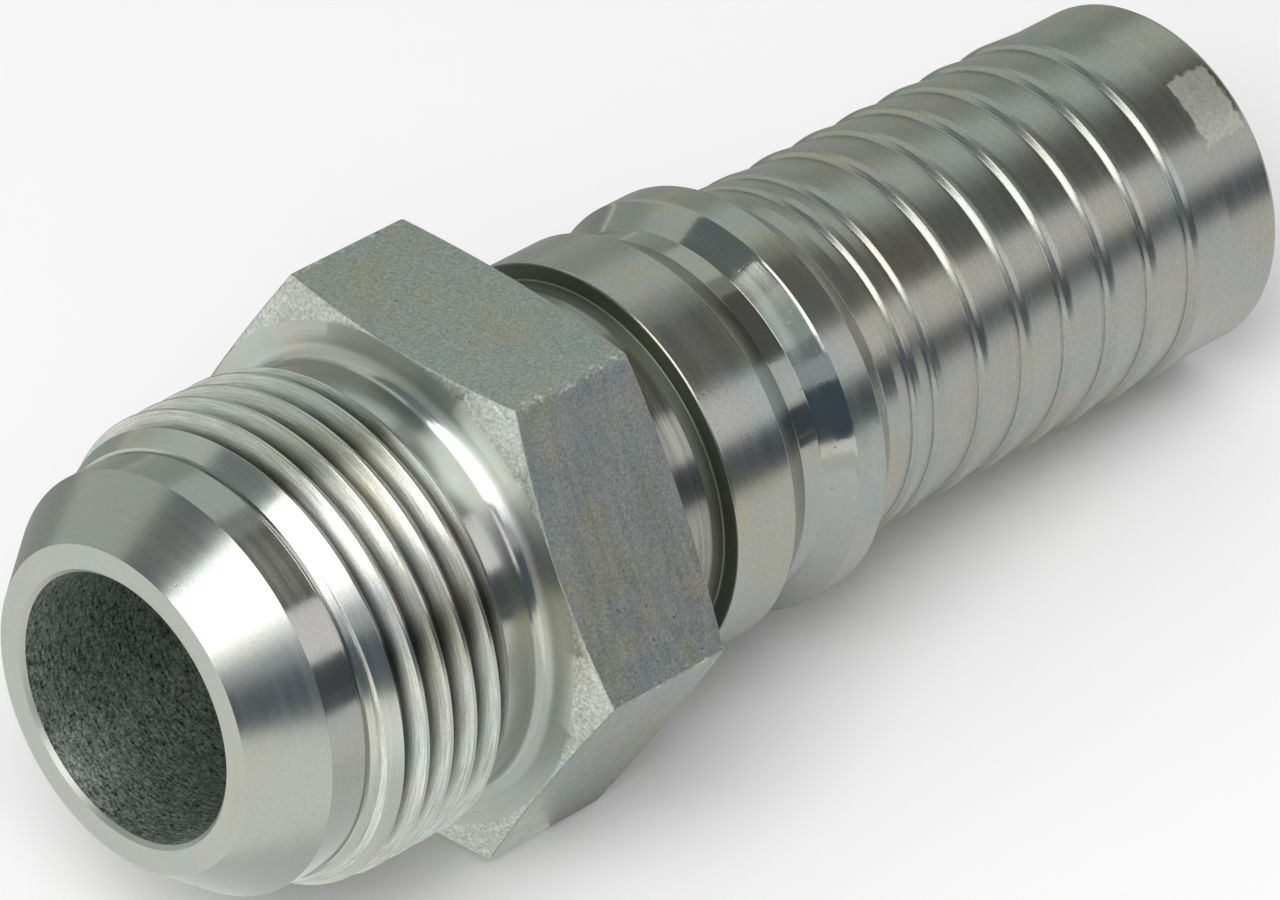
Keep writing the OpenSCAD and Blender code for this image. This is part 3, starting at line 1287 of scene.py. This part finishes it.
@dataclass(frozen=True)
class Finish:
    """How one zone of the plated steel looks. Lengths are in millimetres.

    drag is how far the turning marks stretch reflections, waver how far the surface leans along them,
    worn_edge the radii over which an edge is rubbed bright, and painted_root_shade the radii over which shade
    is painted darker into the thread's root.
    """

    colour: Colour = (0.37, 0.378, 0.358)
    roughness: float = 0.2
    drag: float = 0.6
    line_pitch: float = 0.12
    line_height: float = 0.0012
    line_run: float = 9.0
    line_tone: float = 0.12
    waver: float = 0.02
    grain_size: float = 0.16
    grain_height: float = 0.0012
    grain_tone: float = 0.12
    roughness_change: float = 0.06
    stain: float = 0.5
    stain_size: float = 6.0
    specks: float = 0.2
    speck_size: float = 0.35
    speck_dark: float = 0.6
    speck_depth: float = 0.01
    scratches: float = 0.0
    scratch_pitch: float = 0.11
    scratch_run: float = 1.6
    scratch_depth: float = 0.006
    nick_size: float = 0.5
    nick_tone: float = 0.7
    # Tone at the deepest point of the painted shade in the thread root, and the stations over which that
    # shade sets in.
    painted_root_shade_tone: float = 0.3
    painted_root_shade_start: tuple[float, float] = (9.0, 9.6)
    least_tone: float = 0.05
    patch: WornPatch | None = None
    painted_root_shade: tuple[float, float] | None = None
    worn_edge: tuple[float, float] | None = None

    def material(self, name: str, axis: PartAxis) -> bpy.types.Material:
        """Build the zone's material.

        Args:
            name: the material's name.
            axis: the part's axis, which the turning marks run round.

        Returns:
            The material.
        """
        surface = Surface(name, axis)
        shader = surface.shader
        shader.inputs["Anisotropic"].default_value = self.drag
        shader.inputs["Anisotropic Rotation"].default_value = 0.25
        fine = surface.lines(self.line_pitch, self.line_run)
        broad = surface.lines(self.line_pitch * 5, self.line_run * 2, 1.0, Pattern.BROAD)
        waver = (surface.lines(self.line_pitch, 0.6, 2.0, Pattern.WAVER) - 0.5) * self.waver
        grain = surface.grain(self.grain_size, 3.0)
        cloud = surface.grain(self.stain_size, 3.0, Pattern.CLOUD)
        film = surface.grain(self.stain_size * 0.7, 3.0, Pattern.FILM)
        speck = surface.spread(surface.grain(self.speck_size, 1.0, Pattern.SPECK), 0.7, 0.8)
        colour: Colour | bpy.types.NodeSocket = self.colour
        for tint, noise, low, high in ((OLIVE, cloud, 0.5, 0.66), (BLUISH, cloud, 0.5, 0.36),
                                       (RUSTY, film, 0.54, 0.68)):
            colour = surface.tinted(colour, tint, surface.spread(noise, low, high, 0.0, self.stain))
        tone = (fine - 0.5) * (self.line_tone * 2) + (grain - 0.5) * (self.grain_tone * 2) + 1.0
        tone = tone - speck * (self.specks * self.speck_dark)
        rough = (broad - 0.5) * (self.roughness_change * 2) + self.roughness
        rough = rough + (film - 0.5) * self.roughness_change
        height = fine * self.line_height + broad * self.line_height + grain * self.grain_height
        height = height - speck * (self.specks * self.speck_depth)
        if self.scratches:
            scratch = surface.lines(self.scratch_pitch, self.scratch_run, 1.0, Pattern.SCRATCH)
            scratch = surface.spread(scratch, 0.74, 0.8)
            tone = tone + scratch * self.scratches
            height = height - scratch * self.scratch_depth
        if self.patch:
            worn = self.patch.mask(surface)
            mottle = surface.grain(self.patch.mottle_size, 3.0, Pattern.WORN) - 0.5
            tone = tone + worn * (mottle * self.patch.mottle + self.patch.level)
            rough = rough + worn * self.patch.roughness
            height = height + worn * self.patch.height
        if self.worn_edge:
            nicks = surface.spread(surface.grain(self.nick_size, 4.0, Pattern.NICK), 0.54, 0.64)
            tone = tone + nicks * surface.spread(surface.radius, *self.worn_edge) * self.nick_tone
        # Painted shade: the tone falls towards the thread's root, except in the first groove at the lead-in.
        if self.painted_root_shade:
            run_in = surface.spread(surface.station, *self.painted_root_shade_start, 1.0, 0.0)
            depth = surface.spread(surface.radius, *self.painted_root_shade, self.painted_root_shade_tone, 1.0)
            tone = tone * depth.most(run_in)
        base = surface.vector("SCALE", {0: colour, "Scale": tone.most(self.least_tone)})
        surface.feed(base, shader.inputs["Base Color"])
        surface.feed(rough, shader.inputs["Roughness"])
        surface.raise_by(height, waver)
        return surface.material


FINISHES: dict[Zone, Finish] = {
    Zone.CONE: Finish(roughness=0.26, drag=0.3, line_tone=0.05, specks=0.2, stain=0.3, waver=0.0),
    Zone.NOSE: Finish(roughness=0.16, drag=0.3, line_tone=0.08, specks=0.3, stain=0.3),
    Zone.FACE: Finish((0.38, 0.386, 0.365), 0.42, 0.2, line_height=0.0006, line_tone=0.04, waver=0.0,
                      stain=0.4, grain_height=0.002),
    Zone.THREAD: Finish((0.47, 0.48, 0.455), 0.23, 0.5, line_pitch=0.1, line_height=0.002, line_tone=0.15),
    # The flank's tone is darkened towards the root by painted shade in the thread's grooves.
    Zone.FLANK: Finish((0.58, 0.59, 0.565), 0.3, 0.85, line_pitch=0.1, line_height=0.004, line_run=2.5,
                       line_tone=0.6, waver=0.1, grain_size=0.1, grain_height=0.003, grain_tone=0.4,
                       painted_root_shade=(15.3, 16.2)),
    Zone.RELIEF: Finish((0.46, 0.468, 0.445), roughness=0.19, line_pitch=0.2, line_tone=0.08),
    Zone.SHOULDER: Finish((0.45, 0.46, 0.435), 0.32, 0.85, line_pitch=0.16, line_height=0.0025),
    Zone.CHAMFER: Finish((0.49, 0.5, 0.47), 0.36, 0.4, line_pitch=0.3, line_height=0.008, line_run=1.5,
                         line_tone=0.3, grain_size=0.24, grain_height=0.01, grain_tone=0.8),
    Zone.FLAT: Finish((0.325, 0.342, 0.325), 0.4, 0.0, line_tone=0.0, line_height=0.0, waver=0.0,
                      grain_size=0.2, grain_height=0.003, grain_tone=0.62, stain=0.7, stain_size=3.4,
                      specks=0.9, roughness_change=0.12, scratches=0.7, worn_edge=(20.5, 20.68)),
    Zone.GROOVE: Finish((0.3, 0.307, 0.288), 0.22, 0.6, line_pitch=0.2, line_height=0.003, line_tone=0.6),
    Zone.COLLAR: Finish(roughness=0.25, drag=0.4, stain=0.8, line_tone=0.06, grain_tone=0.25, specks=0.4),
    Zone.WAIST: Finish(roughness=0.13, line_pitch=0.2, line_tone=0.05, specks=0.6),
    Zone.TAIL: Finish((0.365, 0.37, 0.347), 0.27, 0.45, line_tone=0.12, waver=0.03, stain=0.5,
                      grain_tone=0.28, patch=WornPatch()),
    Zone.BORE: Finish((0.5, 0.54, 0.5), 0.45, 0.2, line_pitch=0.2, line_run=0.7, line_tone=1.6,
                      line_height=0.012, grain_size=0.18, grain_tone=1.5, grain_height=0.008, stain=0.1),
    # Dark colour: painted shade at the foot of the collar.
    Zone.WALL: Finish((0.17, 0.184, 0.158), 0.5, 0.0, line_pitch=0.2, line_height=0.002, line_tone=0.2),
}


def main() -> None:
    """Build the studio and the fitting, and report them."""
    logging.basicConfig(level=logging.INFO, format="%(name)s: %(message)s")
    bpy.context.scene.view_settings.view_transform = "Standard"
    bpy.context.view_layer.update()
    record = frame["record"]
    axis = PartAxis.from_record(record)
    Studio().build()
    finishes = {zone: finish.material(f"steel {zone.name.lower()}", axis)
                for zone, finish in FINISHES.items()}
    bore = Bore(mount_size(record, "bore", "r_mm"))
    body = FittingBody(axis, bore).build(finishes)
    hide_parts("fitting_body")
    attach(body, "root")
    LOG.info("%s: %d faces", body.name, len(body.data.polygons))


if __name__ == "__main__":
    main()
